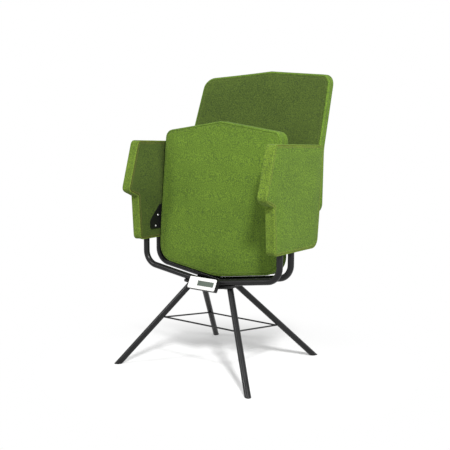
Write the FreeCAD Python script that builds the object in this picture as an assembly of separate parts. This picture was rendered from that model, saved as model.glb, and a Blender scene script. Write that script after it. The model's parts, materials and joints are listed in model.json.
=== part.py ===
import FreeCAD
import Part
import math
import os

from FreeCAD import Rotation, Vector

# Tip up auditorium seat on a four legged tube base, in millimetres.
# The sitter faces -Y, +X is the sitter's left and +Z is up. The feet stand on z = 0.
# The seat is modelled tipped up, which is how it rests.
# Sizes below are measured from the hinge side's own Y zero, and the whole chair
# is moved along Y at the end so that the origin lies under the middle of its box.

# Steel stock
tube_d = 19.0
ring_rod_d = 5.0
plate_t = 4.0

# Chords that stand in for the round corners of the pads
chord_deg = 22.5

# Clearances
running_gap = 0.05
seating_gap = 0.3

# Arm panels, in side view, from the top front corner round by the nose
arm_inner_x = 236.5
arm_thick = 31.0
arm_top_front_y = -115.7
arm_top_z = 695.0
arm_nose_y = -161.3
arm_nose_z = 541.5
arm_notch_y = -118.0
arm_notch_z = 522.5
arm_foot_y = -108.8
arm_foot_z = 383.3
arm_heel_y = 127.8
arm_heel_z = 380.0
arm_rear_top_y = 158.6
arm_rear_top_z = 686.6
arm_corner_r = 14.0
arm_heel_r = 30.0
arm_rear_top_r = 6.0
arm_notch_r = 3.0
arm_edge_r = 3.0
arm_rim_count = 2
arm_waist = 0.8
arm_board_t = 15.0
arm_board_margin = 11.0

# Cradle tubes
cradle_off_arm_middle = 1.5
cradle_front_y = -63.0
cradle_rear_y = -1.0
cradle_low_z = 265.0
cradle_dip_deg = 8.5
cradle_corner_r = 45.0
cradle_top_below_arm = 55.0

# Plates under the cradle, and their bolts
plate_half_x = 90.0
plate_lip = 9.0
bolt_d = 8.0
bolt_hole_d = 9.0
bolt_head_af = 13.0
bolt_head_h = 5.3
nut_h = 6.5
bolt_tail = 2.0
bolt_x = 38.0

# Legs, from the floor to the point over the cradle line where each side's two meet
foot_front_x = 247.0
foot_front_y = -208.0
foot_rear_x = 199.0
foot_rear_y = 242.0
leg_apex_x = 53.0
leg_apex_y = -36.0
leg_apex_rise = 22.0
glide_t = 3.0
ring_front_z = 147.0
ring_rear_z = 116.0

# Number plate holder on the front tube
holder_w = 101.0
holder_h = 36.5
holder_depth = 19.0
holder_tilt_deg = 28.0
holder_forward = 35.0
holder_up = 5.0
holder_corner_r = 4.0
holder_wall = 1.6
holder_face_t = 2.0
holder_window_w = 61.0
holder_window_h = 16.0
holder_window_x = 13.0
holder_pane_t = 1.4
holder_pane_lap = 2.0
clip_w = 16.0
clip_t = 2.0

# Seat panel, square to its own face, from the hinge line
seat_thick = 45.0
seat_side_gap = 8.5
seat_lean_deg = 2.83
seat_above_cradle = 14.0
seat_bottom_r = 180.0
seat_widest_up = -14.0
seat_top_inset = 12.5
seat_peak_up = 311.7
seat_gable = 31.3
seat_low_corner_r = 55.0
seat_top_corner_r = 25.0
seat_side_r = 400.0
seat_peak_r = 12.0
seat_crown = 5.0
seat_crown_reach = 45.0
seat_waist = 1.2
seat_edge_r = 8.0
seat_rim_count = 2
seat_crown_count = 2
seat_board_t = 12.0
seat_board_margin = 16.0
seat_board_skin = 6.0

# Tip up hinge
hinge_z = 444.0
tip_deg = 88.0
pin_d = 12.0
pin_end_cover = 6.0
bush_wall = 1.5
rail_t = 4.0
rail_cover = 4.0
rail_half_depth = 18.0
rail_end_flat = 1.0
rail_below = 22.0
rail_above = 40.0
rail_flange_w = 34.0
rail_flange_low = 28.0
rail_flange_high = 190.0
housing_side = 24.0
housing_len = 50.0
stop_stud_d = 5.0
stop_orbit_r = 14.5
stop_middle_deg = 90.0
hinge_mouth_gap = 2.5
bracket_t = 4.0
bracket_front = 66.0
bracket_rear = 47.0
bracket_below = 32.0
bracket_shoulder = 4.0
bracket_peak_front = 13.0
bracket_above = 53.0
bracket_corner_r = 8.0
bracket_lap = 7.0

# Backrest, curved in plan and bent in side view
back_arm_lap = 10.5
back_top_inset = 7.5
back_half_z = 734.0
back_pad_shares = (0, 0.07, 0.25, 0.6, 1)
back_pad_station = 60.0
back_board_shares = (0, 0.3, 1)
back_board_station = 75.0
back_thick = 33.0
back_hollow = 28.0
back_bend_z = 673.0
back_upper_lean_deg = 18.7
back_bend_r = 150.0
back_peak_z = 916.5
back_gable = 19.5
back_corner_r = 32.0
back_low_corner_r = 30.0
back_edge_r = 8.0
back_rim_count = 2
back_above_seat = 12.0
back_board_depth = 14.0
back_board_t = 10.0
back_board_margin = 14.0
back_bracket_t = 4.0
back_bracket_below_arm = 31.6
back_bracket_h = 110.0
back_bracket_reach_y = 55.0
back_bracket_flange = 46.0

# Values that follow from the sizes above
tube_r = tube_d / 2
bolt_reach = tube_r + 2 * plate_t + nut_h + bolt_tail
arm_outer_x = arm_inner_x + arm_thick
arm_mid_x = arm_inner_x + arm_thick / 2
cradle_x = arm_mid_x + cradle_off_arm_middle
cradle_top_z = arm_top_z - cradle_top_below_arm
dip = math.radians(cradle_dip_deg)
hinge_y = cradle_rear_y
leg_apex_z = cradle_low_z + leg_apex_rise
seat_half_x = arm_inner_x - seat_side_gap
seat_top_half_x = seat_half_x - seat_top_inset
seat_top_up = seat_peak_up - seat_gable
seat_below_hinge = hinge_z - cradle_low_z - seat_above_cradle
rail_outer_x = seat_half_x - rail_cover
rail_end_r = rail_half_depth - rail_end_flat
pin_inner_x = rail_outer_x - rail_t - housing_len + pin_end_cover
hinge_mouth_r = stop_orbit_r + stop_stud_d / 2 + hinge_mouth_gap
bush_r = pin_d / 2 + running_gap + bush_wall
bracket_inner_x = arm_inner_x - bracket_t
board_inner_x = arm_mid_x - arm_board_t / 2
back_half_x = arm_inner_x + back_arm_lap
back_top_half_x = back_half_x - back_top_inset
back_corner_z = back_peak_z - back_gable
back_bracket_high_z = arm_rear_top_z - back_bracket_below_arm
back_bracket_low_z = back_bracket_high_z - back_bracket_h
far = 2000.0
origin = Vector(0, 0, 0)
along_x = Vector(1, 0, 0)
along_y = Vector(0, 1, 0)
along_z = Vector(0, 0, 1)


# Points, outlines and plain solids

def in_side_view(x):
    """Map (y, z) outline points to the plane at x."""
    return lambda a, b: Vector(x, a, b)


def in_front_view(y):
    """Map (x, z) outline points to the plane at y."""
    return lambda a, b: Vector(a, y, b)


def in_plan(z):
    """Map (x, y) outline points to the plane at z."""
    return lambda a, b: Vector(a, b, z)


def corner_arc(before, corner, after, radius):
    """The start, middle and end of the arc that rounds a corner."""
    to_before = (before - corner).normalize()
    to_after = (after - corner).normalize()
    half = to_before.getAngle(to_after) / 2
    run = radius / math.tan(half)
    inward = (to_before + to_after).normalize()
    middle = corner + inward * (radius / math.sin(half) - radius)
    return corner + to_before * run, middle, corner + to_after * run


def rounded_path(corners, radii, closed):
    """One wire through the corners, each rounded by its own radius."""
    count = len(corners)
    edges = []
    stops = []
    for i, corner in enumerate(corners):
        is_end = not closed and i in (0, count - 1)
        if is_end or radii[i] <= 0:
            stops.append((corner, None, corner))
        else:
            stops.append(corner_arc(corners[i - 1], corner, corners[(i + 1) % count], radii[i]))
    for i in range(count):
        start, middle, end = stops[i]
        if middle is not None:
            edges.append(Part.Arc(start, middle, end).toShape())
        if closed or i < count - 1:
            edges.append(Part.makeLine(end, stops[(i + 1) % count][0]))
    return Part.Wire(edges)


def outline_face(points, place):
    """A face from (a, b, corner radius) points."""
    corners = [place(a, b) for a, b, r in points]
    return Part.Face(rounded_path(corners, [r for a, b, r in points], True))


def inset_outline(points, margin):
    """The same outline moved inward by a margin, with its corner radii to match."""
    count = len(points)
    area = sum(points[i - 1][0] * points[i][1] - points[i][0] * points[i - 1][1] for i in range(count))
    turn = 1 if area > 0 else -1
    moved = []
    for i in range(count):
        before, here, after = points[i - 1], points[i], points[(i + 1) % count]
        d1 = Vector(here[0] - before[0], here[1] - before[1], 0).normalize()
        d2 = Vector(after[0] - here[0], after[1] - here[1], 0).normalize()
        n1 = Vector(-d1.y, d1.x, 0) * turn
        n2 = Vector(-d2.y, d2.x, 0) * turn
        shift = (n1 + n2) * (margin / (1 + n1.dot(n2)))
        is_hollow = (d1.x * d2.y - d1.y * d2.x) * turn < 0
        radius = here[2] + margin if is_hollow else max(here[2] - margin, here[2] / 3)
        moved.append((here[0] + shift.x, here[1] + shift.y, radius))
    return moved


def chorded(outline, place):
    """A closed wire along an outline, with each round corner cut into equal chords."""
    corners = [Vector(a, b, 0) for a, b, r in outline]
    points = []
    for i, corner in enumerate(corners):
        radius = outline[i][2]
        start, middle, end = corner_arc(corners[i - 1], corner, corners[(i + 1) % len(corners)], radius)
        hub = middle + (middle - corner).normalize() * radius
        axis = (start - hub).cross(end - hub)
        sweep = math.degrees((start - hub).getAngle(end - hub))
        count = math.ceil(sweep / chord_deg)
        for k in range(count + 1):
            point = hub + Rotation(axis, sweep * k / count).multVec(start - hub)
            points.append(place(point.x, point.y))
    return Part.makePolygon(points + points[:1])


def mirrored_outline(right_half):
    """A closed outline from its right half, given from the bottom up."""
    return right_half + [(-x, z, r) for x, z, r in reversed(right_half) if x > 0]


def bar(start, end, diameter):
    """A round bar between two points."""
    axis = end - start
    return Part.makeCylinder(diameter / 2, axis.Length, start, axis)


def block(x, y, z):
    """A box from three (low, high) pairs."""
    return Part.makeBox(x[1] - x[0], y[1] - y[0], z[1] - z[0], Vector(x[0], y[0], z[0]))


def hexagon(centre, axis, across_flats, height):
    """A hexagonal head or nut that starts at centre and grows along axis."""
    radius = across_flats / 2 / math.cos(math.pi / 6)
    turn = Rotation(along_z, axis)
    ring = []
    for i in range(6):
        angle = math.pi / 3 * i
        ring.append(centre + turn.multVec(Vector(math.cos(angle), math.sin(angle), 0) * radius))
    return Part.Face(Part.makePolygon(ring + [ring[0]])).extrude(axis * height)


def mirror(shape):
    """The same shape on the other side of the middle plane."""
    return shape.mirror(origin, along_x)


def fused(shapes):
    """One solid from several that meet."""
    return shapes[0].multiFuse(shapes[1:]).removeSplitter()


def rim_steps(radius, count):
    """(height, inset) points round a quarter round rim, from the face to the side."""
    steps = []
    for i in range(count + 1):
        angle = math.pi / 2 * i / count
        steps.append((radius * (1 - math.cos(angle)), radius * (1 - math.sin(angle))))
    return steps


def crown_steps(height, start, reach, count):
    """(height, inset) points up a domed face, from the rim inward."""
    steps = []
    for i in range(1, count + 1):
        angle = math.pi / 2 * i / count
        steps.append((height * math.sin(angle), start + reach * (1 - math.cos(angle))))
    return steps


def stacked_pad(outline, place_at, thick, rim, waist, crown):
    """A pad lofted through insets of its outline, with round rims and drawn in sides."""
    low, high = -thick / 2, thick / 2
    levels = [(low + h, inset) for h, inset in rim] + [(0, waist)]
    levels += [(high - h, inset) for h, inset in reversed(rim)]
    levels += [(high + h, inset) for h, inset in crown]
    wires = [chorded(inset_outline(outline, inset), place_at(h)) for h, inset in levels]
    return Part.makeLoft(wires, True, True)


# Cradle: two bent tubes that dip to the middle

def cradle_line(x):
    """A point of the line that the tubes' middles dip along."""
    return Vector(x, 0, cradle_low_z + abs(x) * math.tan(dip))


def dip_bar(y, diameter, length):
    """A bar along the left half of the dipping line, mitred at the middle."""
    middle = cradle_line(0) + along_y * y
    run = Vector(math.cos(dip), 0, math.sin(dip))
    rod = bar(middle - run * diameter, middle + run * length, diameter)
    return rod.cut(block((-far, 0), (-far, far), (-far, far)))


def cradle_tube(y):
    """One bent tube with both its uprights."""
    middle = cradle_line(0) + along_y * y
    corner = cradle_line(cradle_x) + along_y * y
    top = Vector(cradle_x, y, cradle_top_z)
    start, outermost, end = corner_arc(middle, corner, top, cradle_corner_r)
    run = start - middle
    to_hub = (outermost - corner).normalize()
    hub = outermost + to_hub * cradle_corner_r
    section = Part.Face(Part.Wire(Part.makeCircle(tube_r, start, run)))
    turn = math.degrees(run.getAngle(top - corner))
    bend = section.revolve(hub, run.cross(top - corner).normalize(), turn)
    half = dip_bar(y, tube_d, run.Length).multiFuse([bend, bar(end, top, tube_d)])
    return half.fuse(mirror(half)).removeSplitter()


def dip_band(near, deep, half_x):
    """The front view of a plate that lies between two depths below the cradle line."""
    points = []
    for depth, order in ((near, (-1, 0, 1)), (deep, (1, 0, -1))):
        for side in order:
            rise = abs(side) * half_x * math.tan(dip)
            points.append(Vector(side * half_x, 0, cradle_low_z - depth / math.cos(dip) + rise))
    return Part.Face(Part.makePolygon(points + points[:1]))


def bolt_places():
    """Each plate bolt's point on the cradle line, between the tubes, and its upward axis."""
    middle = along_y * ((cradle_front_y + cradle_rear_y) / 2)
    for side in (-1, 1):
        yield cradle_line(side * bolt_x) + middle, Vector(-side * math.sin(dip), 0, math.cos(dip))


def dip_plate(depth):
    """One folded plate whose top lies that far below the cradle line."""
    front_y = cradle_front_y - plate_lip
    rear_y = cradle_rear_y + plate_lip
    plate = dip_band(depth, depth + plate_t, plate_half_x).extrude(along_y * (rear_y - front_y))
    plate.translate(along_y * front_y)
    for foot, axis in bolt_places():
        plate = plate.cut(bar(foot - axis * bolt_reach, foot, bolt_hole_d))
    return plate


def base_bolt(foot, axis):
    """One hexagon bolt through both plates."""
    under_head = foot - axis * tube_r
    tail = foot - axis * bolt_reach
    return hexagon(under_head, axis, bolt_head_af, bolt_head_h).fuse(bar(tail, under_head, bolt_d))


def base_nut(foot, axis):
    """One nut under the lower plate."""
    top = foot - axis * (tube_r + 2 * plate_t)
    nut = hexagon(top, -axis, bolt_head_af, nut_h)
    return nut.cut(bar(foot - axis * bolt_reach, foot, bolt_d + 2 * running_gap))


# Base: four raked legs, their glides and the wire ring between them

leg_feet = {
    "front_left": Vector(foot_front_x, foot_front_y, 0),
    "front_right": Vector(-foot_front_x, foot_front_y, 0),
    "rear_right": Vector(-foot_rear_x, foot_rear_y, 0),
    "rear_left": Vector(foot_rear_x, foot_rear_y, 0),
}


def leg_axis(name):
    """A leg's foot and the point its centre line aims at."""
    foot = leg_feet[name]
    return foot, Vector(math.copysign(leg_apex_x, foot.x), leg_apex_y, leg_apex_z)


def leg_core(name):
    """A round bar along a leg, longer than the leg at both ends."""
    foot, apex = leg_axis(name)
    overrun = (apex - foot).normalize() * (2 * tube_d)
    return bar(foot - overrun, apex + overrun, tube_d)


def leg(name):
    """A leg, cut level above its glide and to the slope of the lower plate."""
    above = dip_band(tube_r + 2 * plate_t, -far, far).extrude(along_y * far)
    above.translate(along_y * (-far / 2))
    return leg_core(name).cut(block((-far, far), (-far, far), (-far, glide_t))).cut(above)


def glide(name):
    """A glide: a sole cut level like the end of its leg."""
    return leg_core(name).common(block((-far, far), (-far, far), (0, glide_t)))


def ring_corner(name):
    """Where the ring meets the inner face of a leg."""
    foot, apex = leg_axis(name)
    axis = apex - foot
    height = ring_front_z if foot.y < 0 else ring_rear_z
    centre = foot + axis * (height / axis.z)
    inward = Vector(axis.x, axis.y, 0).normalize()
    lean = axis.getAngle(along_z)
    return centre + inward * (tube_r / math.cos(lean) + ring_rod_d / 4)


def ring_rod(name_a, name_b):
    """One rod of the ring, mitred at the legs and coped to them."""
    a = ring_corner(name_a)
    b = ring_corner(name_b)
    reach = (b - a).normalize() * tube_d
    rod = bar(a - reach, b + reach, ring_rod_d)
    middle = sum((ring_corner(name) for name in leg_feet), Vector()) * (1 / len(leg_feet))
    far_a = middle + (a - middle) * 2
    far_b = middle + (b - middle) * 2
    wedge = Part.Face(Part.makePolygon([middle, far_a, far_b, middle])).extrude(along_z * 2 * ring_rod_d)
    wedge.translate(along_z * -ring_rod_d)
    return rod.common(wedge).cut(leg_core(name_a)).cut(leg_core(name_b))


# Number plate holder

def holder_point(height):
    """The point at a height over the middle of the holder's face plane."""
    lean = math.radians(90 - holder_tilt_deg)
    middle = Vector(0, cradle_front_y - holder_forward, cradle_low_z + holder_up)
    return middle + Vector(0, -math.sin(lean), math.cos(lean)) * height


def place_holder(shape):
    """Move a shape from the holder's own face plane to its place before the front tube."""
    placed = shape.copy()
    placed.rotate(origin, along_x, 90 - holder_tilt_deg)
    placed.translate(holder_point(0))
    return placed


def holder_slab(width, height, corner_r, low, high, x=0.0):
    """A rounded rectangle between two heights over the face plane."""
    w = width / 2
    h = height / 2
    points = [(x - w, -h, corner_r), (x + w, -h, corner_r), (x + w, h, corner_r), (x - w, h, corner_r)]
    return outline_face(points, in_plan(low)).extrude(along_z * (high - low))


def holder_body():
    """An open tray behind the face."""
    shell = holder_slab(holder_w, holder_h, holder_corner_r, -holder_depth, -holder_face_t)
    inner_w = holder_w - 2 * holder_wall
    inner_h = holder_h - 2 * holder_wall
    pocket = holder_slab(inner_w, inner_h, 0, -holder_depth + holder_wall, -holder_face_t)
    return place_holder(shell.cut(pocket))


def holder_face():
    """The pale frame with its window."""
    plate = holder_slab(holder_w, holder_h, holder_corner_r, -holder_face_t, 0)
    window = holder_slab(holder_window_w, holder_window_h, 0, -holder_face_t, 0, holder_window_x)
    return place_holder(plate.cut(window))


def holder_pane():
    """The grey pane, lapped behind the window."""
    width = holder_window_w + 2 * holder_pane_lap
    height = holder_window_h + 2 * holder_pane_lap
    top = -holder_face_t
    return place_holder(holder_slab(width, height, 0, top - holder_pane_t, top, holder_window_x))


def holder_clip():
    """A bent tab that carries the holder's back and meets the front tube."""
    x = (-clip_w / 2, clip_w / 2)
    rise = (-holder_h / 2 + clip_t, holder_h / 3)
    tab = place_holder(block(x, rise, (-holder_depth - clip_t, -holder_depth)))
    back = holder_point(-holder_depth - clip_t / 2)
    bridge_z = (cradle_low_z + back.z) / 2
    bridge = block(x, (back.y, cradle_front_y), (bridge_z - clip_t, bridge_z))
    run = dip_bar(cradle_front_y, tube_d, clip_w)
    return fused([tab, bridge]).cut(run.fuse(mirror(run)))


# Arm panels

arm_outline = [
    (arm_top_front_y, arm_top_z, arm_corner_r),
    (arm_nose_y, arm_nose_z, arm_corner_r),
    (arm_notch_y, arm_notch_z, arm_notch_r),
    (arm_foot_y, arm_foot_z, arm_corner_r),
    (arm_heel_y, arm_heel_z, arm_heel_r),
    (arm_rear_top_y, arm_rear_top_z, arm_rear_top_r),
]


def upright_slots():
    """The square slots from below that take the two uprights in an arm."""
    half = tube_r + seating_gap
    slots = []
    for y in (cradle_front_y, cradle_rear_y):
        slots.append(block(
            (cradle_x - half, cradle_x + half), (y - half, y + half), (0, cradle_top_z + seating_gap)))
    return slots


def sharp(outline):
    """The same outline with square corners, for hidden pieces."""
    return [(a, b, 0) for a, b, r in outline]


def arm_board(gap=0.0):
    """The ply board in an arm, slotted from below for the uprights."""
    outline = sharp(inset_outline(arm_outline, arm_board_margin - gap))
    face = outline_face(outline, in_side_view(board_inner_x - gap))
    return face.extrude(along_x * (arm_board_t + 2 * gap))


def slotted_arm_board():
    """The arm board with its slots."""
    board = arm_board()
    for slot in upright_slots():
        board = board.cut(slot)
    return board


def arm_pad():
    """The upholstered arm, hollow for its board, the uprights and the brackets."""
    panel = stacked_pad(
        arm_outline, lambda h: in_side_view(arm_mid_x + h), arm_thick,
        rim_steps(arm_edge_r, arm_rim_count), arm_waist, [])
    window = outline_face(sharp(inset_outline(bracket_outline, bracket_lap)), in_side_view(bracket_inner_x))
    hidden = upright_slots() + [arm_board(seating_gap), back_web(seating_gap)]
    for shape in hidden + [window.extrude(along_x * (board_inner_x - bracket_inner_x))]:
        panel = panel.cut(shape)
    return panel


# Tip up hinge, on the arm side

bracket_outline = [
    (hinge_y - bracket_front, hinge_z - bracket_below, bracket_corner_r),
    (hinge_y - bracket_front, hinge_z - bracket_shoulder, bracket_corner_r),
    (hinge_y - bracket_peak_front, hinge_z + bracket_above, bracket_corner_r * 2),
    (hinge_y + bracket_rear, hinge_z - bracket_shoulder, bracket_corner_r * 2),
    (hinge_y + bracket_rear, hinge_z - bracket_below, bracket_corner_r),
]


def pin_bar(x_low, x_high, diameter):
    """A bar on the hinge line between two distances from the middle."""
    return bar(Vector(x_low, hinge_y, hinge_z), Vector(x_high, hinge_y, hinge_z), diameter)


def hinge_bracket():
    """The steel bracket on the arm's inner face, bored for the hinge pin, with its stop stud."""
    bracket = outline_face(bracket_outline, in_side_view(bracket_inner_x)).extrude(along_x * bracket_t)
    bracket = bracket.cut(pin_bar(rail_outer_x, arm_outer_x, pin_d + 2 * running_gap))
    return fused([bracket, stop_stud()])


def stop_stud():
    """The fixed stud that stops the seat at both ends of its travel."""
    angle = math.radians(stop_middle_deg + tip_deg / 2 - seat_lean_deg)
    y = hinge_y + stop_orbit_r * math.cos(angle)
    z = hinge_z + stop_orbit_r * math.sin(angle)
    return bar(Vector(rail_outer_x - rail_t, y, z), Vector(bracket_inner_x, y, z), stop_stud_d)


def pivot_pin():
    """The hinge pin, from the rear upright into the seat."""
    return pin_bar(pin_inner_x, cradle_x - tube_r, pin_d)


# Seat, built upright about the hinge line and then leant back

seat_outline = mirrored_outline([
    (0, -seat_below_hinge, seat_bottom_r),
    (seat_half_x, -seat_below_hinge + seat_half_x * math.tan(dip), seat_low_corner_r),
    (seat_half_x, seat_widest_up, seat_side_r),
    (seat_top_half_x, seat_top_up, seat_top_corner_r),
    (0, seat_peak_up, seat_peak_r),
])


def place_seat(shape):
    """Lean a seat shape back and move it to the hinge line."""
    placed = shape.copy()
    placed.rotate(origin, along_x, -seat_lean_deg)
    placed.translate(Vector(0, hinge_y, hinge_z))
    return placed


def seat_board(gap=0.0):
    """The ply board near the seat's underside."""
    low = -seat_thick / 2 + seat_board_skin
    outline = inset_outline(seat_outline, seat_board_margin - gap)
    return Part.Face(chorded(outline, in_front_view(low - gap))).extrude(along_y * (seat_board_t + 2 * gap))


def hinge_space():
    """The square space in the seat that the web of a side rail and its spring housing take."""
    half = rail_half_depth + seating_gap
    inner = rail_outer_x - rail_t - housing_len - seating_gap
    return block(
        (inner, rail_outer_x + seating_gap), (-half, half),
        (-rail_below - seating_gap, rail_above + seating_gap))


def notched_seat_board():
    """The seat board with its notches for the hinge."""
    board = seat_board()
    return place_seat(board.cut(hinge_space()).cut(mirror(hinge_space())))


def rail_web():
    """The upright web of a side rail, round at its lower end."""
    points = [
        (-rail_half_depth, -rail_below, rail_end_r),
        (rail_half_depth, -rail_below, rail_end_r),
        (rail_half_depth, rail_above, 0),
        (-rail_half_depth, rail_above, 0),
    ]
    return outline_face(points, in_side_view(rail_outer_x - rail_t)).extrude(along_x * rail_t)


def rail_flange(gap=0.0):
    """The flange of a side rail, which runs forward under the seat board."""
    under_board = -seat_thick / 2 + seat_board_skin
    x = (rail_outer_x - rail_flange_w - gap, rail_outer_x + gap)
    n = (under_board - rail_t - gap, under_board + gap)
    flange = block(x, n, (rail_flange_low - gap, rail_flange_high + gap))
    side_slope = math.atan2(seat_half_x - seat_top_half_x, seat_top_up - seat_widest_up)
    trim = block((0, far), (-far, far), (-far, far))
    trim.rotate(origin, along_y, -math.degrees(side_slope))
    trim.translate(Vector(rail_outer_x + gap, 0, 0))
    return flange.cut(trim)


def stop_slot():
    """The curved slot that the stop stud runs in."""
    reach = stop_stud_d / 2 + seating_gap
    outer = Part.makeCylinder(stop_orbit_r + reach, far, Vector(0, 0, 0), along_x)
    inner = Part.makeCylinder(stop_orbit_r - reach, far, Vector(0, 0, 0), along_x)
    ring = outer.cut(inner)
    points = [(0, 0, 0)]
    for turn in (-tip_deg / 2, 0, tip_deg / 2):
        angle = math.radians(stop_middle_deg + turn)
        points.append((2 * seat_thick * math.cos(angle), 2 * seat_thick * math.sin(angle), 0))
    slot = ring.common(outline_face(points, in_side_view(0)).extrude(along_x * far))
    for turn in (-tip_deg / 2, tip_deg / 2):
        angle = math.radians(stop_middle_deg + turn)
        end = Vector(0, stop_orbit_r * math.cos(angle), stop_orbit_r * math.sin(angle))
        slot = slot.fuse(bar(end, end + along_x * far, 2 * reach))
    return slot


def side_rail():
    """A steel side rail with the bush bore and the stop slot."""
    rail = fused([rail_web(), rail_flange()])
    bore = bar(origin, Vector(far, 0, 0), 2 * bush_r)
    return place_seat(rail.cut(bore).cut(stop_slot()))


def pivot_bush():
    """A plain bush in the side rail, long enough to keep the seat off the bracket."""
    barrel = bar(Vector(rail_outer_x - rail_t, 0, 0), Vector(bracket_inner_x - seating_gap, 0, 0), 2 * bush_r)
    bore = bar(origin, Vector(far, 0, 0), pin_d + 2 * running_gap)
    return place_seat(barrel.cut(bore))


def spring_housing():
    """The closed spring housing round the pin's inner end."""
    outer = rail_outer_x - rail_t
    half = housing_side / 2
    body = block((outer - housing_len, outer), (-half, half), (-half, half))
    bore = bar(Vector(pin_inner_x - seating_gap, 0, 0), Vector(far, 0, 0), pin_d + 2 * running_gap)
    return place_seat(body.cut(bore))


def seat_pad():
    """The seat upholstery: domed on the sitting face, with rounded rims."""
    pad = stacked_pad(
        seat_outline, in_front_view, seat_thick, rim_steps(seat_edge_r, seat_rim_count), seat_waist,
        crown_steps(seat_crown, seat_edge_r, seat_crown_reach, seat_crown_count))
    mouth = bar(Vector(rail_outer_x, 0, 0), Vector(far, 0, 0), 2 * hinge_mouth_r)
    for pocket in (hinge_space(), rail_flange(seating_gap), mouth):
        pad = pad.cut(pocket).cut(mirror(pocket))
    return place_seat(pad.cut(seat_board(seating_gap)))


# Backrest

back_low_z = hinge_z + seat_thick / 2 + back_above_seat
back_lower_slope = (arm_rear_top_y - arm_heel_y) / (arm_rear_top_z - arm_heel_z)
back_taper = back_top_inset / (back_corner_z - back_half_z)
back_flat_x = back_half_x - back_edge_r
back_plan_r = (back_flat_x ** 2 + back_hollow ** 2) / (2 * back_hollow)


def back_side_y(z):
    """The front face's y at the flat's side edge, before the bend is rounded."""
    low = arm_heel_y + (min(z, back_bend_z) - arm_heel_z) * back_lower_slope + seating_gap
    return low + max(z - back_bend_z, 0) * math.tan(math.radians(back_upper_lean_deg))


def back_point(x, depth, z):
    """A point of the backrest: x at the reference height, depth behind the front face."""
    spread = 1 - back_taper * (z - back_half_z) / back_half_x
    bow = back_hollow - back_plan_r + math.sqrt(back_plan_r ** 2 - x ** 2)
    return Vector(x * spread, back_side_y(z) + bow + depth, z)


def back_section(x, front, rear, low_z, high_z, rim):
    """The closed side view of one station between two depths."""
    points = []
    for depth, inward in ((front, 1), (rear, -1)):
        run = [(depth + inward * h, low_z + inset, 0) for h, inset in reversed(rim)]
        run.append((depth, back_bend_z, back_bend_r))
        run += [(depth + inward * h, high_z - inset, 0) for h, inset in rim]
        points += run if inward > 0 else reversed(run)
    corners = [back_point(x, depth, z) for depth, z, r in points]
    return rounded_path(corners, [r for depth, z, r in points], True)


def corner_drop(from_side, radius):
    """How far a round corner falls short of its square one, at a distance from the side."""
    if from_side >= radius:
        return 0
    return radius - math.sqrt(radius ** 2 - (radius - from_side) ** 2)


def back_stations(half_x, corner_r, shares, spacing):
    """The x of each station on one side: close at the round corners, then evenly spaced."""
    outer = [half_x - share * corner_r for share in shares]
    count = math.ceil(outer[-1] / spacing)
    return [outer[-1] * i / count for i in range(1, count)] + list(reversed(outer))


def back_body(front, rear, margin, edge_r=0.0):
    """A layer of the backrest between two depths, a margin inside its outline."""
    half_x = back_half_x - margin
    if edge_r:
        rim = rim_steps(edge_r, back_rim_count)
        right = back_stations(half_x, back_corner_r - margin, back_pad_shares, back_pad_station)
    else:
        rim = [(0, 0)]
        right = back_stations(half_x, back_corner_r - margin, back_board_shares, back_board_station)
    gable = (back_peak_z - back_corner_z) / back_top_half_x
    wires = []
    for x in [-x for x in reversed(right)] + [0] + right:
        from_side = half_x - abs(x)
        shrink = corner_drop(from_side, edge_r)
        high = back_peak_z - margin - abs(x) * gable - corner_drop(from_side, back_corner_r - margin)
        low = back_low_z + margin + corner_drop(from_side, back_low_corner_r - margin)
        wires.append(back_section(x, front + shrink, rear - shrink, low, high, rim))
    return Part.makeLoft(wires, True, True)


def back_board(gap=0.0):
    """The curved ply board in the backrest."""
    return back_body(back_board_depth - gap, back_board_depth + back_board_t + gap, back_board_margin - gap)


def back_web(gap=0.0):
    """The web of a back bracket, from inside the arm to the back board."""
    inner = board_inner_x - back_bracket_t
    web = block(
        (inner - gap, board_inner_x + gap), (back_bracket_reach_y - gap, far / 4),
        (back_bracket_low_z - gap, back_bracket_high_z + gap))
    behind = back_body(back_board_depth + gap, far / 4, -back_edge_r)
    return web.cut(behind)


def back_flange(gap=0.0):
    """The flange of a back bracket, flat against the front of the back board."""
    layer = back_body(back_board_depth - back_bracket_t - gap, back_board_depth + gap, 0)
    side = board_inner_x + gap
    return layer.common(block(
        (side - back_bracket_flange - 2 * gap, side), (0, far / 4),
        (back_bracket_low_z - gap, back_bracket_high_z + gap)))


def back_bracket():
    """An angle bracket that ties an arm board to the back board."""
    return fused([back_web(), back_flange()])


def back_pad():
    """The backrest upholstery, hollow for its board and brackets."""
    pad = back_body(0, back_thick, 0, back_edge_r)
    for shape in (back_web(seating_gap), back_flange(seating_gap)):
        pad = pad.cut(shape).cut(mirror(shape))
    return pad.cut(back_board(seating_gap))


def pair(shape):
    """One group of two separate solids, on both sides."""
    return Part.makeCompound([shape, mirror(shape)])


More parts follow.
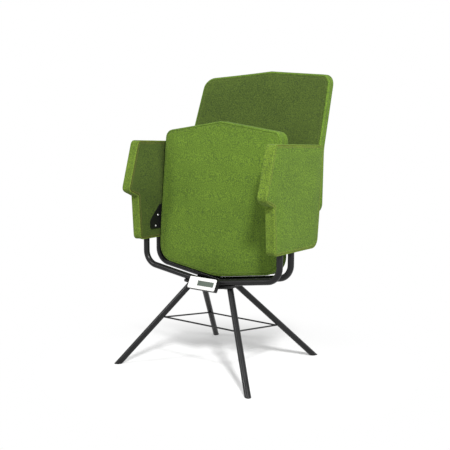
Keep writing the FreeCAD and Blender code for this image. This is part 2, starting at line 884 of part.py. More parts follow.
def build():
    """Every sub-part by its name."""
    parts = {}
    for name in leg_feet:
        parts["leg_" + name] = leg(name)
    parts["glides"] = Part.makeCompound([glide(name) for name in leg_feet])
    names = list(leg_feet)
    for i, side in enumerate(("front", "right", "rear", "left")):
        parts["ring_rod_" + side] = ring_rod(names[i], names[(i + 1) % len(names)])
    parts["cradle_tube_front"] = cradle_tube(cradle_front_y)
    parts["cradle_tube_rear"] = cradle_tube(cradle_rear_y)
    parts["cradle_plate"] = dip_plate(tube_r)
    parts["base_plate"] = dip_plate(tube_r + plate_t)
    parts["base_bolts"] = Part.makeCompound([base_bolt(f, a) for f, a in bolt_places()])
    parts["base_nuts"] = Part.makeCompound([base_nut(f, a) for f, a in bolt_places()])
    parts["holder_body"] = holder_body()
    parts["holder_face"] = holder_face()
    parts["holder_pane"] = holder_pane()
    parts["holder_clip"] = holder_clip()
    parts["seat_pad"] = seat_pad()
    parts["seat_board"] = notched_seat_board()
    parts["back_pad"] = back_pad()
    parts["back_board"] = back_board()
    parts["pivot_pins"] = pair(pivot_pin())
    parts["pivot_bushes"] = pair(pivot_bush())
    parts["spring_housings"] = pair(spring_housing())
    parts["side_rails"] = pair(side_rail())
    handed = {
        "arm_pad": arm_pad(),
        "arm_board": slotted_arm_board(),
        "hinge_bracket": hinge_bracket(),
        "back_bracket": back_bracket(),
    }
    for name, shape in handed.items():
        parts[name + "_left"] = shape
        parts[name + "_right"] = mirror(shape)
    return parts


def main():
    parts = build()
    box = Part.makeCompound(list(parts.values())).optimalBoundingBox(False, False)
    shift = Vector(0, -(box.YMin + box.YMax) / 2, 0)
    os.makedirs("parts", exist_ok=True)
    for name, shape in parts.items():
        shape.translate(shift)
        shape.exportStep("parts/" + name + ".step")
    print("shift along Y %.3f" % shift.y)
    print("hinge line at y %.3f, z %.3f" % (hinge_y + shift.y, hinge_z))


main()
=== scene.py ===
import json
import math

import bpy
from mathutils import Matrix, Vector
from mathutils.kdtree import KDTree


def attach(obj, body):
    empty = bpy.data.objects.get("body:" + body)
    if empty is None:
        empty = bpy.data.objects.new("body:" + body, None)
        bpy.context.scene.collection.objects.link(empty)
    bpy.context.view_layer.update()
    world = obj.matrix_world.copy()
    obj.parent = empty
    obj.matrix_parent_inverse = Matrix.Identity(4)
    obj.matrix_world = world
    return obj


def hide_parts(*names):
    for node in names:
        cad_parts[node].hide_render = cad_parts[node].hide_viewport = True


# Tip up auditorium seat. Metres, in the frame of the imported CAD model.
# -Y is the sitter's front, +X the sitter's left, and the feet stand on z = 0.
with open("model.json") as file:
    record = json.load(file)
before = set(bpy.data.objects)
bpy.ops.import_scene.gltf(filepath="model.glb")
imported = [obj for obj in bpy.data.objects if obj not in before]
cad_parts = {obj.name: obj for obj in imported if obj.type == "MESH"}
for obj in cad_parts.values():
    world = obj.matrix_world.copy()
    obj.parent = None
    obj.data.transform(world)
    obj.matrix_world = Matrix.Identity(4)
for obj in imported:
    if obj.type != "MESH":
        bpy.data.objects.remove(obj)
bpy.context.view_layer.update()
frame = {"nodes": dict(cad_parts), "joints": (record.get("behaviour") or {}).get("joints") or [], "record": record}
nodes = frame["nodes"]

# Driving sizes, the same as in the CAD source
mm = 0.001
hinge = Vector(frame["joints"][0]["pos_m"])
shift_y = hinge.y + 1 * mm
arm_inner_x = 236.5 * mm
arm_thick = 31 * mm
arm_rim_r = 3 * mm
arm_waist = 0.8 * mm
seat_thick = 45 * mm
seat_rim_r = 8 * mm
seat_waist = 1.2 * mm
seat_lean = math.radians(2.83)
seat_crown = 5 * mm
seat_crown_reach = 45 * mm
seat_under_crown = 1.2 * mm
back_half_x = 247 * mm
back_thick = 33 * mm
back_rim_r = 8 * mm
back_waist = 0.8 * mm
back_hollow = 28 * mm
back_taper = 7.5 / 163
back_half_z = 734 * mm
back_bend_z = 673 * mm
back_bend_r = 150 * mm
back_lower_slope = (158.6 - 127.8) / (686.6 - 380.0)
back_upper_slope = math.tan(math.radians(18.7))
arm_heel = Vector((127.8, 380.0)) * mm
seating_gap = 0.3 * mm
dip = math.radians(8.5)

# Upholstery: how far the fabric stands proud, its seams, its swell and its stitches
back_proud = 4 * mm
arm_proud = 1.5 * mm
seat_proud = 2 * mm
pad_step = 7 * mm
ring_pitch = 1.3 * pad_step
rim_pieces = 5
side_pieces = 6
seam_in = 7 * mm
arm_seam_in = 4 * mm
seam_depth = 1.4 * mm
seam_width = 0.9 * mm
seam_half = 0.7 * mm
seam_offsets = (4, 2.4, 1.4, 0.8, 0.4, 0, -0.4, -0.8, -1.4, -2.2)
face_margin = seam_offsets[0] * mm
panel_crown = 1.5 * mm
panel_reach = 60 * mm
arm_inner_crown = 0.8 * mm
arm_outer_crown = 1.6 * mm
arm_crown_reach = 40 * mm
puff_pressure = 4
puff_frames = 20
puff_voxel = 7 * mm
puff_stiffness = 40
puff_bending = 2
puff_neighbours = 5
puff_cap = 2.5 * mm
puff_reach = 50 * mm
arm_puff_cap = 1.2 * mm
arm_puff_reach = 40 * mm
stitch_in = seam_in + 3.4 * mm
arm_stitch_in = 7.2 * mm
stitch_pitch = 5 * mm
stitch_long = 3.6 * mm
stitch_r = 0.4 * mm
stitch_sections = ((-0.5, 0.35), (-0.3, 1), (0.3, 1), (0.5, 0.35))
stitch_arch = ((1, 0), (0.5, 0.8), (-0.5, 0.8), (-1, 0))

# Screws on the hinge brackets, as (y, z) before the shift
bracket_screws = [(-43, 421), (37, 421), (-32, 455)]
bracket_face_x = 232.5 * mm
screw_r = 3.6 * mm
screw_h = 2.6 * mm
socket_r = 1.6 * mm
screw_sides = 24

# Texture scales, per metre, and the melange's contrast
fleck_scale = 360
yarn_scale = 900
patch_scale = 9
thread_scale = 160
fleck_light = 1.26
fleck_dark = 0.7
grain_scale = 900
scuff_scale = 22

# Lamps as (name, azimuth, elevation, distance, size, power), and the photo's viewpoint
lamps = [
    ("key", 46, 38, 3.0, 0.4, 88), ("fill", -28, 26, 3.0, 0.5, 22), ("side", 84, 20, 2.8, 0.6, 22),
]
lamp_target = Vector((0, 0, 0.5))
ambient_strength = 0.4
floor_half = 6.0
floor_fade_from = 0.1
floor_fade_to = 0.62
camera_azimuth = 36.09
camera_elevation = 7.9
camera_roll = 0.33
camera_distance = 2.38
camera_target = Vector((9.0 * mm, 6.6 * mm + shift_y, 438.2 * mm))
camera_lens = 61.45
sensor_width = 36


def scaled(points):
    """Millimetre points (a, b, corner radius) in metres."""
    return [(a * mm, b * mm, r * mm) for a, b, r in points]


def mirrored(right_half):
    """A closed outline from its right half, given from the bottom up."""
    return right_half + [(-a, b, r) for a, b, r in reversed(right_half) if a > 0]


arm_outline = scaled([
    (-115.7, 695.0, 14), (-161.3, 541.5, 14), (-118.0, 522.5, 3),
    (-108.8, 383.3, 14), (127.8, 380.0, 30), (158.6, 686.6, 6),
])
seat_outline = mirrored(scaled([
    (0, -165.0, 180), (228.0, -165.0 + 228.0 * math.tan(dip), 55), (228.0, -14.0, 400),
    (215.5, 280.4, 25), (0, 311.7, 12),
]))
back_outline = mirrored(scaled([
    (247.0, 478.5, 30), (247.0, 897.0, 32), (0, 916.5, 14),
]))


# Outlines

def corner_data(outline, i, turn):
    """A corner, the directions into and out of it, and their inward normals."""
    here = Vector(outline[i][:2])
    d1 = (here - Vector(outline[i - 1][:2])).normalized()
    d2 = (Vector(outline[(i + 1) % len(outline)][:2]) - here).normalized()
    n1 = Vector((-d1.y, d1.x)) * turn
    n2 = Vector((-d2.y, d2.x)) * turn
    return here, d1, d2, n1, n2


def edge_loop(outline, inset, step):
    """Points along an outline moved inward, its corners rounded, as many at every inset."""
    count = len(outline)
    pairs = [(outline[i - 1], outline[i]) for i in range(count)]
    turn = math.copysign(1, sum(a[0] * b[1] - b[0] * a[1] for a, b in pairs))
    path = []
    cuts = []
    for i in range(count):
        here, d1, d2, n1, n2 = corner_data(outline, i, turn)
        corner = here + (n1 + n2) * (inset / (1 + n1.dot(n2)))
        side = math.copysign(1, (d1.x * d2.y - d1.y * d2.x) * turn)
        full = outline[i][2]
        radius = max(full - side * inset, full / 3)
        half = d1.angle(d2) / 2
        hub = corner - d1 * (radius * math.tan(half)) + n1 * (radius * side)
        pieces = max(4, math.ceil(2 * half * full / step))
        for k in range(pieces + 1):
            swing = Matrix.Rotation(side * turn * 2 * half * k / pieces, 2)
            path.append(hub - swing @ (n1 * radius * side))
        run = (Vector(outline[(i + 1) % count][:2]) - here).length
        cuts += [1] * pieces + [max(1, round(run / step))]
    loop = []
    for i, point in enumerate(path):
        after = path[(i + 1) % len(path)]
        loop += [point.lerp(after, k / cuts[i]) for k in range(cuts[i])]
    return loop


def smooth(t):
    """A step from 0 to 1 with no corner."""
    t = min(max(t, 0), 1)
    return t * t * (3 - 2 * t)


# Upholstered pads

def edge_profile(thick, rim_r, waist, seam):
    """(height, inset, is seam) points across a pad's edge, with a seam groove near each face."""
    insets = [seam + d * mm for d in seam_offsets]
    start = math.asin(1 - insets[-1] / rim_r)
    half = []
    for inset in insets:
        flat = rim_r - math.sqrt(rim_r ** 2 - max(0, rim_r - inset) ** 2)
        dent = seam_depth * math.exp(-((inset - seam) / seam_width) ** 2)
        half.append((flat + dent, inset, abs(inset - seam) < seam_half))
    for i in range(1, rim_pieces + 1):
        angle = start + (math.pi / 2 - start) * i / rim_pieces
        half.append((rim_r * (1 - math.cos(angle)), rim_r * (1 - math.sin(angle)), False))
    low = [(-thick / 2 + h, inset, is_seam) for h, inset, is_seam in half]
    high = [(thick / 2 - h, inset, is_seam) for h, inset, is_seam in reversed(half)]
    side = []
    for i in range(1, side_pieces):
        t = i / side_pieces
        side.append(((rim_r - thick / 2) * (1 - 2 * t), waist * math.sin(math.pi * t), False))
    return low + side + high


def pad_rings(loops, profile, thick, crowns):
    """Rings of (point, height) from one face over the edge to the other, and the faces' centre."""
    centre = sum(loops[0], Vector((0, 0))) / len(loops[0])
    count = max(8, round(min((p - centre).length for p in loops[0]) / ring_pitch))
    faces = []
    for side, (crown, reach) in zip((-1, 1), crowns):
        rings = []
        for i in range(1, count):
            ring = []
            for p in loops[0]:
                q = centre + (p - centre) * (1 - i / count)
                ring.append((q, side * (thick / 2 + crown * smooth((p - q).length / reach))))
            rings.append(ring)
        faces.append(rings)
    edge = [[(p, h) for p in loop] for loop, (h, inset, is_seam) in zip(loops, profile)]
    return faces[0][::-1] + edge + faces[1], centre


def seam_distances(rings, profile):
    """How far each point of a pad lies from its nearest seam."""
    first = (len(rings) - len(profile)) // 2
    edge = rings[first]
    seams = [(h, inset) for h, inset, is_seam in profile if is_seam]
    reach = []
    for r, ring in enumerate(rings):
        if first <= r < first + len(profile):
            h, inset, is_seam = profile[r - first]
            reach += [min(abs(h - h2) + abs(inset - inset2) for h2, inset2 in seams)] * len(ring)
        else:
            reach += [(p - q).length + face_margin for (p, h), (q, h2) in zip(edge, ring)]
    return reach + [max(reach)] * 2


def pad_faces(rings, first, seam_rows, centre):
    """A pad's polygons, their material indices and their UVs in metres.

    The index is 0 on the low face, 1 on the band, 2 on the high face and 3 along the seams.
    """
    size = len(rings[0])
    run = [0.0]
    for i in range(size):
        run.append(run[-1] + (rings[first][(i + 1) % size][0] - rings[first][i][0]).length)
    polygons = []
    slots = []
    uvs = []
    for r in range(len(rings) - 1):
        if r in seam_rows and r + 1 in seam_rows:
            slot = 3
        elif seam_rows[0] <= r <= seam_rows[-1]:
            slot = 1
        else:
            slot = 0 if r < seam_rows[0] else 2
        for i in range(size):
            j = (i + 1) % size
            here, above = r * size, (r + 1) * size
            polygons.append((here + i, here + j, above + j, above + i))
            slots.append(slot)
            corners = (rings[r][i], rings[r][j], rings[r + 1][j], rings[r + 1][i])
            if slot == 1:
                uvs += [(run[k], h) for k, (p, h) in zip((i, i + 1, i + 1, i), corners)]
            else:
                uvs += [(p.x, p.y) for p, h in corners]
    top = (len(rings) - 1) * size
    pole = top + size
    for i in range(size):
        j = (i + 1) % size
        polygons += [(j, i, pole), (top + i, top + j, pole + 1)]
        slots += [0, 2]
        uvs += [tuple(rings[0][j][0]), tuple(rings[0][i][0]), tuple(centre)]
        uvs += [tuple(rings[-1][i][0]), tuple(rings[-1][j][0]), tuple(centre)]
    return polygons, slots, uvs


def pad_mesh(name, outline, place, thick, rim_r, waist, seam, crowns, proud):
    """A sewn pad, a band and two panels joined at seams, and how far each point is from one."""
    profile = edge_profile(thick, rim_r, waist, seam)
    loops = [edge_loop(outline, inset - proud, pad_step) for h, inset, is_seam in profile]
    rings, centre = pad_rings(loops, profile, thick, crowns)
    first = (len(rings) - len(profile)) // 2
    seam_rows = [first + i for i, (h, inset, is_seam) in enumerate(profile) if is_seam]
    points = [place(p.x, p.y, h) for ring in rings for p, h in ring]
    for side, (crown, reach) in zip((-1, 1), crowns):
        points.append(place(centre.x, centre.y, side * (thick / 2 + crown)))
    polygons, slots, uvs = pad_faces(rings, first, seam_rows, centre)
    mesh = build_mesh(name, points, polygons)
    mesh.polygons.foreach_set("material_index", slots)
    layer = mesh.uv_layers.new(name="cloth")
    layer.data.foreach_set("uv", [value for uv in uvs for value in uv])
    mesh.update()
    mesh.shade_smooth()
    return add_piece(name, mesh), seam_distances(rings, profile)


def build_mesh(name, points, polygons):
    """A mesh from points and polygons."""
    mesh = bpy.data.meshes.new(name)
    mesh.from_pydata([tuple(p) for p in points], [], polygons)
    mesh.update()
    return mesh


def add_piece(name, mesh):
    """A new object from a mesh, in the scene."""
    piece = bpy.data.objects.new(name, mesh)
    bpy.context.scene.collection.objects.link(piece)
    return piece


def face_outward(mesh):
    """Turn a closed mesh's faces outward."""
    volume = 0.0
    for polygon in mesh.polygons:
        a, b, c = (mesh.vertices[i].co for i in polygon.vertices[:3])
        weight = 2 if len(polygon.vertices) == 4 else 1
        volume += weight * a.dot((b - a).cross(c - a))
    if volume < 0:
        mesh.flip_normals()


def place_arm(side):
    """Side view points of an arm panel to the row frame, its inner face at the negative height."""
    middle = side * (arm_inner_x + arm_thick / 2)
    return lambda a, b, h: Vector((middle + side * h, a + shift_y, b))


def place_seat(a, b, h):
    """Front view points of the seat to the row frame, its sitting face at the positive height."""
    y = hinge.y + h * math.cos(seat_lean) + b * math.sin(seat_lean)
    z = hinge.z + b * math.cos(seat_lean) - h * math.sin(seat_lean)
    return Vector((a, y, z))


def back_line(z):
    """The y of the backrest's front face at its sides, with a round bend."""
    bend = math.atan(back_upper_slope) - math.atan(back_lower_slope)
    half_run = back_bend_r * math.tan(bend / 2)
    low = arm_heel.x + (z - arm_heel.y) * back_lower_slope + seating_gap
    over = z - back_bend_z
    turn = back_upper_slope - back_lower_slope
    if over <= -half_run:
        return low
    if over >= half_run:
        return low + over * turn
    return low + turn * (over + half_run) ** 2 / (4 * half_run)


def place_back(a, b, h):
    """Front view points of the backrest to the row frame, bowed in plan and bent in side view."""
    spread = 1 - back_taper * (b - back_half_z) / back_half_x
    flat = back_half_x - back_rim_r
    radius = (flat ** 2 + back_hollow ** 2) / (2 * back_hollow)
    bow = back_hollow - radius + math.sqrt(radius ** 2 - a ** 2)
    return Vector((a * spread, back_line(b) + bow + back_thick / 2 + h + shift_y, b))


def stitch_row(name, outline, inset, place, height):
    """A closed row of separate stitches on a pad's face."""
    loop = edge_loop(outline, inset, stitch_pitch)
    points = []
    polygons = []
    side = math.copysign(1, height)
    for i, p in enumerate(loop):
        along = loop[(i + 1) % len(loop)] - p
        if along.length < stitch_pitch / 2:
            continue
        along.normalize()
        across = Vector((-along.y, along.x))
        base = len(points)
        for t, fat in stitch_sections:
            for u, v in stitch_arch:
                q = p + along * (t * stitch_long) + across * (u * stitch_r * fat)
                points.append(place(q.x, q.y, height + side * v * stitch_r * fat))
        for r in range(3):
            a = base + 4 * r
            polygons += [(a + k, a + k + 1, a + k + 5, a + k + 4) for k in range(3)]
            polygons.append((a + 3, a, a + 4, a + 7))
        polygons.append((base + 3, base + 2, base + 1, base))
        polygons.append((base + 12, base + 13, base + 14, base + 15))
    mesh = build_mesh(name, points, polygons)
    mesh.shade_smooth()
    return add_piece(name, mesh)


def lathe(name, rings, centre, axis, sides):
    """A closed round piece from (radius, height) rings along an axis."""
    turn = Vector((0, 0, 1)).rotation_difference(axis)
    points = []
    for radius, height in rings:
        for k in range(sides):
            angle = 2 * math.pi * k / sides
            spoke = Vector((radius * math.cos(angle), radius * math.sin(angle), height))
            points.append(centre + turn @ spoke)
    polygons = [tuple(reversed(range(sides)))]
    for r in range(len(rings) - 1):
        here, above = r * sides, (r + 1) * sides
        for k in range(sides):
            j = (k + 1) % sides
            polygons.append((here + k, here + j, above + j, above + k))
    polygons.append(tuple((len(rings) - 1) * sides + k for k in range(sides)))
    return add_piece(name, build_mesh(name, points, polygons))


# Materials

def new_material(name):
    """An empty node material, its nodes' maker, its linker and its shader."""
    material = bpy.data.materials.new(name)
    material.use_nodes = True
    tree = material.node_tree
    return material, tree.nodes.new, tree.links.new, tree.nodes["Principled BSDF"]


def noise(add, link, where, scale, detail):
    """A noise texture in object space."""
    node = add("ShaderNodeTexNoise")
    node.inputs["Scale"].default_value = scale
    node.inputs["Detail"].default_value = detail
    link(where, node.inputs["Vector"])
    return node.outputs["Fac"]


def ramp(add, link, value, stops):
    """Colours along a value."""
    node = add("ShaderNodeValToRGB")
    elements = node.color_ramp.elements
    while len(elements) < len(stops):
        elements.new(0.5)
    for element, (position, colour) in zip(elements, stops):
        element.position = position
        element.color = (*colour, 1)
    link(value, node.inputs["Fac"])
    return node.outputs["Color"]


def blend(add, link, kind, factor, a, b):
    """Two colours mixed."""
    node = add("ShaderNodeMix")
    node.data_type = "RGBA"
    node.blend_type = kind
    node.inputs["Factor"].default_value = factor
    link(a, node.inputs["A"])
    link(b, node.inputs["B"])
    return node.outputs["Result"]


def math_node(add, link, kind, a, b):
    """A sum, product or other operation on a link and a link or number."""
    node = add("ShaderNodeMath")
    node.operation = kind
    link(a, node.inputs[0])
    if isinstance(b, (int, float)):
        node.inputs[1].default_value = b
    else:
        link(b, node.inputs[1])
    return node.outputs[0]


def threads(add, link, where, direction):
    """Ribs along one direction of the cloth, a yarn apart."""
    wave = add("ShaderNodeTexWave")
    wave.wave_type = "BANDS"
    wave.bands_direction = direction
    wave.inputs["Scale"].default_value = thread_scale
    wave.inputs["Distortion"].default_value = 0.8
    wave.inputs["Detail"].default_value = 1
    wave.inputs["Detail Scale"].default_value = 2
    link(where, wave.inputs["Vector"])
    return wave.outputs["Fac"]


def times(colour, factor):
    """A colour made lighter or darker."""
    return tuple(min(1, c * factor) for c in colour)


def wool(name, colour):
    """Melange wool: crossed yarns, lighter, darker and bluish flecks, faint wear and soft sheen."""
    material, add, link, shader = new_material(name)
    where = add("ShaderNodeTexCoord")
    body = where.outputs["Object"]
    cloth = where.outputs["UV"]
    fleck = noise(add, link, body, fleck_scale, 3)
    yarn = noise(add, link, body, yarn_scale, 2)
    patch = noise(add, link, body, patch_scale, 3)
    blue = (colour[0] * 0.75, colour[1] * 0.78, colour[2] * 1.9)
    straw = (colour[0] * 1.45, colour[1] * 1.2, colour[2] * 1.1)
    base = ramp(add, link, fleck, [
        (0.30, times(blue, fleck_dark)), (0.42, times(colour, fleck_dark)), (0.52, colour),
        (0.62, times(colour, fleck_light)), (0.72, times(straw, fleck_light / 1.1))])
    fine = ramp(add, link, yarn, [(0.3, (0.8, 0.8, 0.8)), (0.7, (1.2, 1.2, 1.2))])
    base = blend(add, link, "MULTIPLY", 0.8, base, fine)
    wear = ramp(add, link, patch, [(0.3, (0.9, 0.9, 0.92)), (0.7, (1.09, 1.08, 1.05))])
    base = blend(add, link, "MULTIPLY", 1.0, base, wear)
    warp = threads(add, link, cloth, "X")
    weft = threads(add, link, cloth, "Y")
    weave = math_node(add, link, "MULTIPLY", warp, weft)
    shade = ramp(add, link, weave, [(0.0, (0.74, 0.74, 0.74)), (0.6, (1.16, 1.16, 1.16))])
    base = blend(add, link, "MULTIPLY", 0.35, base, shade)
    link(base, shader.inputs["Base Color"])
    relief = math_node(add, link, "ADD", weave, math_node(add, link, "MULTIPLY", yarn, 0.8))
    bump = add("ShaderNodeBump")
    bump.inputs["Strength"].default_value = 0.4
    bump.inputs["Distance"].default_value = 0.5 * mm
    link(relief, bump.inputs["Height"])
    link(bump.outputs["Normal"], shader.inputs["Normal"])
    rough = add("ShaderNodeMapRange")
    rough.inputs["To Min"].default_value = 0.86
    rough.inputs["To Max"].default_value = 1.0
    link(fleck, rough.inputs["Value"])
    link(rough.outputs["Result"], shader.inputs["Roughness"])
    shader.inputs["Specular IOR Level"].default_value = 0.12
    shader.inputs["Sheen Weight"].default_value = 0.05
    shader.inputs["Sheen Roughness"].default_value = 0.45
    return material


def coated(name, colour, roughness, relief=0.04, metallic=0.0, worn=1.25, gloss=0.5):
    """Paint, plating or moulding: fine grain, uneven gloss and faint scuffs."""
    material, add, link, shader = new_material(name)
    where = add("ShaderNodeTexCoord").outputs["Object"]
    fine = noise(add, link, where, grain_scale, 2)
    broad = noise(add, link, where, scuff_scale, 4)
    link(ramp(add, link, broad, [(0.35, times(colour, 0.88)), (0.7, times(colour, worn))]),
         shader.inputs["Base Color"])
    spread = add("ShaderNodeMapRange")
    spread.inputs["From Min"].default_value = 0.3
    spread.inputs["From Max"].default_value = 0.7
    spread.inputs["To Min"].default_value = roughness * 0.8
    spread.inputs["To Max"].default_value = roughness * 1.2
    link(broad, spread.inputs["Value"])
    link(spread.outputs["Result"], shader.inputs["Roughness"])
    bump = add("ShaderNodeBump")
    bump.inputs["Strength"].default_value = relief
    bump.inputs["Distance"].default_value = 0.2 * mm
    link(fine, bump.inputs["Height"])
    link(bump.outputs["Normal"], shader.inputs["Normal"])
    shader.inputs["Metallic"].default_value = metallic
    shader.inputs["Specular IOR Level"].default_value = gloss
    return material


def plywood():
    """Birch ply with grain along its height."""
    material, add, link, shader = new_material("birch_ply")
    where = add("ShaderNodeTexCoord").outputs["Object"]
    stretch = add("ShaderNodeMapping")
    stretch.inputs["Scale"].default_value = (90, 90, 6)
    link(where, stretch.inputs["Vector"])
    grain = noise(add, link, stretch.outputs["Vector"], 1, 5)
    link(ramp(add, link, grain, [(0.35, (0.5, 0.36, 0.21)), (0.65, (0.66, 0.51, 0.33))]),
         shader.inputs["Base Color"])
    shader.inputs["Roughness"].default_value = 0.65
    return material


outer_green = (0.112, 0.194, 0.024)
inner_green = (0.066, 0.104, 0.019)
green_outer = wool("green_wool_outer", outer_green)
green_inner = wool("green_wool_inner", inner_green)
green_band = wool("green_wool_band", (0.13, 0.208, 0.026))
# Painted shade: the seat's and backrest's seam grooves get the cloth's green darkened to 0.42, shade painted into
# the groove
seam_painted_shade = wool("green_wool_seam_painted_shade", times(outer_green, 0.42))
tan_seam = wool("tan_wool_seam", (0.2, 0.13, 0.03))
thread_green = coated("thread_green", (0.11, 0.15, 0.03), 0.7)
thread_tan = coated("thread_tan", (0.19, 0.13, 0.035), 0.7)
black_paint = coated("black_paint", (0.009, 0.009, 0.0095), 0.3, gloss=0.24)
bright_steel = coated("bright_steel", (0.62, 0.62, 0.6), 0.3, metallic=1.0)
black_nylon = coated("black_nylon", (0.012, 0.012, 0.012), 0.5, relief=0.1, gloss=0.25)
pale_plastic = coated("pale_plastic", (0.8, 0.8, 0.775), 0.4, worn=1.04)
grey_pane = coated("grey_pane", (0.075, 0.1, 0.078), 0.16, worn=1.1)
slot_materials = {
    "green_fabric": green_outer, "black_steel": black_paint, "zinc_steel": bright_steel,
    "board_ply": plywood(), "black_nylon": black_nylon, "pale_plastic": pale_plastic,
    "grey_pane": grey_pane,
}


def dress_nodes():
    """Give each CAD node its slot's material."""
    for sub in frame["record"]["subparts"]:
        mesh = nodes[sub["node"]].data
        mesh.materials.clear()
        mesh.materials.append(slot_materials[sub["material_slot"]])


# Puffing: a coarse copy is blown up as cloth, and the sewn mesh follows it between its seams

def inflated(piece):
    """Rest points of a remeshed copy, and how far cloth under pressure moves each."""
    copy = add_piece("inflated", piece.data.copy())
    mesh = copy.data
    mesh.remesh_voxel_size = puff_voxel
    bpy.context.view_layer.objects.active = copy
    bpy.ops.object.voxel_remesh()
    rest = [v.co.copy() for v in mesh.vertices]
    cloth = copy.modifiers.new("cloth", "CLOTH")
    cloth.settings.use_pressure = True
    cloth.settings.uniform_pressure_force = puff_pressure
    cloth.settings.tension_stiffness = puff_stiffness
    cloth.settings.compression_stiffness = puff_stiffness
    cloth.settings.bending_stiffness = puff_bending
    cloth.settings.effector_weights.gravity = 0
    cloth.point_cache.frame_end = puff_frames
    scene = bpy.context.scene
    for step in range(1, puff_frames + 1):
        scene.frame_set(step)
    shown = copy.evaluated_get(bpy.context.evaluated_depsgraph_get()).data
    moved = [v.co - p for v, p in zip(shown.vertices, rest)]
    scene.frame_set(1)
    bpy.data.objects.remove(copy)
    bpy.data.meshes.remove(mesh)
    return rest, moved


def puff(piece, distances, cap, reach):
    """Move a sewn pad the way its inflated copy goes, up to a cap far from the seams."""
    rest, moved = inflated(piece)
    tree = KDTree(len(rest))
    for i, point in enumerate(rest):
        tree.insert(point, i)
    tree.balance()
    for v in piece.data.vertices:
        total = Vector()
        weights = 0
        for point, i, distance in tree.find_n(v.co, puff_neighbours):
            weight = 1 / (distance + puff_voxel / 4)
            total += moved[i] * weight
            weights += weight
        total /= weights
        share = smooth(distances[v.index] / reach)
        length = total.length
        if length > 0:
            v.co += total * (share * cap * (1 - math.exp(-length / cap)) / length)
    piece.data.update()


def upholster(piece, node, body, materials):
    """Finish a pad: its fabrics, its node and its body."""
    for material in materials:
        piece.data.materials.append(material)
    face_outward(piece.data)
    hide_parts(node)
    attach(piece, body)


def add_stitches(name, outline, inset, place, height, body, material):
    """One stitched row on a face."""
    row = stitch_row(name, outline, inset, place, height)
    face_outward(row.data)
    row.data.materials.append(material)
    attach(row, body)


def make_pads():
    """The seat, the backrest and both arms."""
    seat, distances = pad_mesh(
        "seat_cover", seat_outline, place_seat, seat_thick, seat_rim_r, seat_waist, seam_in,
        ((seat_under_crown, panel_reach), (seat_crown, seat_crown_reach)), seat_proud)
    puff(seat, distances, puff_cap, puff_reach)
    # The seat's seams carry painted shade in their grooves
    upholster(seat, "seat_pad", "seat", (green_outer, green_outer, green_inner, seam_painted_shade))
    back, distances = pad_mesh(
        "back_cover", back_outline, place_back, back_thick, back_rim_r, back_waist, seam_in,
        ((panel_crown, panel_reach), (panel_crown, panel_reach)), back_proud)
    puff(back, distances, puff_cap, puff_reach)
    # The backrest's seams carry painted shade in their grooves
    upholster(back, "back_pad", "frame", (green_inner, green_outer, green_outer, seam_painted_shade))
    arm_fabrics = (green_inner, green_band, green_outer, tan_seam)
    for label, side in (("left", 1), ("right", -1)):
        place = place_arm(side)
        arm, distances = pad_mesh(
            "arm_cover_" + label, arm_outline, place, arm_thick, arm_rim_r, arm_waist, arm_seam_in,
            ((arm_inner_crown, arm_crown_reach), (arm_outer_crown, arm_crown_reach)), arm_proud)
        puff(arm, distances, arm_puff_cap, arm_puff_reach)
        upholster(arm, "arm_pad_" + label, "frame", arm_fabrics)
        for face, level in (("inner", -1), ("outer", 1)):
            add_stitches("arm_stitches_%s_%s" % (face, label), arm_outline, arm_stitch_in, place,
                         level * arm_thick / 2, "frame", thread_tan)
    for face, level in (("under", -1), ("over", 1)):
        add_stitches("seat_stitches_" + face, seat_outline, stitch_in, place_seat,
                     level * seat_thick / 2, "seat", thread_green)
    for face, level in (("front", -1), ("rear", 1)):
        add_stitches("back_stitches_" + face, back_outline, stitch_in, place_back,
                     level * back_thick / 2, "frame", thread_green)


def make_screws():
    """Domed socket screws on the hinge brackets' inner faces."""
    rings = [
        (screw_r * 0.92, 0), (screw_r, 0.2 * screw_h), (screw_r * 0.94, 0.5 * screw_h),
        (screw_r * 0.74, 0.82 * screw_h), (screw_r * 0.5, 0.98 * screw_h),
        (socket_r * 1.1, screw_h), (socket_r, 0.96 * screw_h), (socket_r, 0.35 * screw_h),
        (socket_r * 0.4, 0.2 * screw_h),
    ]
    for label, side in (("left", 1), ("right", -1)):
        inward = Vector((-side, 0, 0))
        for i, (y, z) in enumerate(bracket_screws):
            name = "bracket_screw_%s_%d" % (label, i + 1)
            centre = Vector((side * bracket_face_x, y * mm + shift_y, z * mm))
            screw = lathe(name, rings, centre, inward, screw_sides)
            screw.data.materials.append(bright_steel)
            screw.data.shade_smooth()
            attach(screw, "frame")


# Studio

def direction(azimuth, elevation):
    """From the chair towards a place given in degrees, azimuth 0 being in front of it."""
    a, e = math.radians(azimuth), math.radians(elevation)
    return Vector((math.sin(a) * math.cos(e), -math.cos(a) * math.cos(e), math.sin(e)))


def area_light(name, azimuth, elevation, distance, size, power):
    """A soft square lamp aimed at the middle of the chair."""
    lamp = bpy.data.lights.new(name, "AREA")
    lamp.size = size
    lamp.energy = power
    light = bpy.data.objects.new(name, lamp)
    away = direction(azimuth, elevation)
    light.location = lamp_target + away * distance
    light.rotation_mode = "QUATERNION"
    light.rotation_quaternion = (-away).to_track_quat("-Z", "Y")
    bpy.context.scene.collection.objects.link(light)


def seen_directly(add, link):
    """1 where the camera or a reflection looks, 0 elsewhere."""
    path = add("ShaderNodeLightPath")
    camera, glossy = path.outputs["Is Camera Ray"], path.outputs["Is Glossy Ray"]
    seen = math_node(add, link, "MAXIMUM", camera, glossy)
    return math_node(add, link, "MAXIMUM", seen, path.outputs["Is Transmission Ray"])


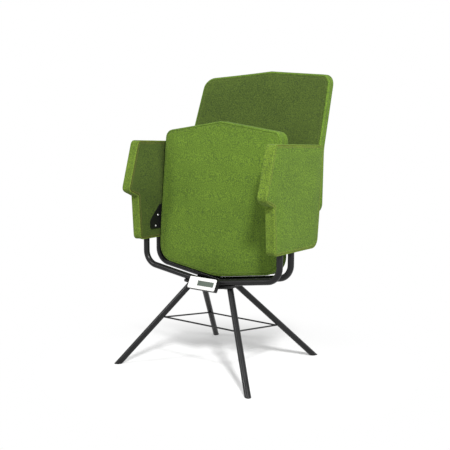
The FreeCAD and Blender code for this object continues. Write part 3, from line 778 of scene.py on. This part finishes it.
def make_world():
    """Soft light all round, and white behind."""
    world = bpy.data.worlds.new("studio")
    bpy.context.scene.world = world
    world.use_nodes = True
    add = world.node_tree.nodes.new
    link = world.node_tree.links.new
    ambient = world.node_tree.nodes["Background"]
    ambient.inputs["Color"].default_value = (1, 1, 1, 1)
    ambient.inputs["Strength"].default_value = ambient_strength
    white = add("ShaderNodeBackground")
    white.inputs["Color"].default_value = (1, 1, 1, 1)
    mix = add("ShaderNodeMixShader")
    link(seen_directly(add, link), mix.inputs["Fac"])
    link(ambient.outputs[0], mix.inputs[1])
    link(white.outputs[0], mix.inputs[2])
    link(mix.outputs[0], world.node_tree.nodes["World Output"].inputs["Surface"])


def make_floor():
    """A plain pale floor that keeps the chair's shadow and turns white further out."""
    half = floor_half
    corners = [(-half, -half, 0), (half, -half, 0), (half, half, 0), (-half, half, 0)]
    mesh = build_mesh("floor", corners, [(0, 1, 2, 3)])
    floor = add_piece("floor", mesh)
    material, add, link, shader = new_material("pale_floor")
    seen = seen_directly(add, link)
    tone = add("ShaderNodeMix")
    tone.data_type = "RGBA"
    tone.inputs["A"].default_value = (0.55, 0.55, 0.55, 1)
    tone.inputs["B"].default_value = (1.0, 1.0, 1.0, 1)
    link(seen, tone.inputs["Factor"])
    link(tone.outputs["Result"], shader.inputs["Base Color"])
    shader.inputs["Roughness"].default_value = 0.95
    shader.inputs["Specular IOR Level"].default_value = 0.1
    where = add("ShaderNodeTexCoord").outputs["Object"]
    length = add("ShaderNodeVectorMath")
    length.operation = "LENGTH"
    link(where, length.inputs[0])
    fade = add("ShaderNodeMapRange")
    fade.interpolation_type = "SMOOTHSTEP"
    fade.inputs["From Min"].default_value = floor_fade_from
    fade.inputs["From Max"].default_value = floor_fade_to
    link(length.outputs["Value"], fade.inputs["Value"])
    amount = math_node(add, link, "MULTIPLY", fade.outputs["Result"], seen)
    glow = add("ShaderNodeEmission")
    mix = add("ShaderNodeMixShader")
    link(amount, mix.inputs["Fac"])
    link(shader.outputs[0], mix.inputs[1])
    link(glow.outputs[0], mix.inputs[2])
    link(mix.outputs[0], material.node_tree.nodes["Material Output"].inputs["Surface"])
    mesh.materials.append(material)


def make_camera():
    """The photo's viewpoint."""
    away = direction(camera_azimuth, camera_elevation)
    data = bpy.data.cameras.new("camera")
    data.lens = camera_lens
    data.sensor_width = sensor_width
    camera = bpy.data.objects.new("camera", data)
    camera.location = camera_target + away * camera_distance
    roll = Matrix.Rotation(math.radians(camera_roll), 3, "Z").to_quaternion()
    camera.rotation_mode = "QUATERNION"
    camera.rotation_quaternion = (-away).to_track_quat("-Z", "Y") @ roll
    bpy.context.scene.collection.objects.link(camera)
    bpy.context.scene.camera = camera


make_camera()
make_world()
make_floor()
for lamp in lamps:
    area_light(*lamp)
dress_nodes()
make_pads()
make_screws()
bpy.context.scene.view_settings.view_transform = "Standard"
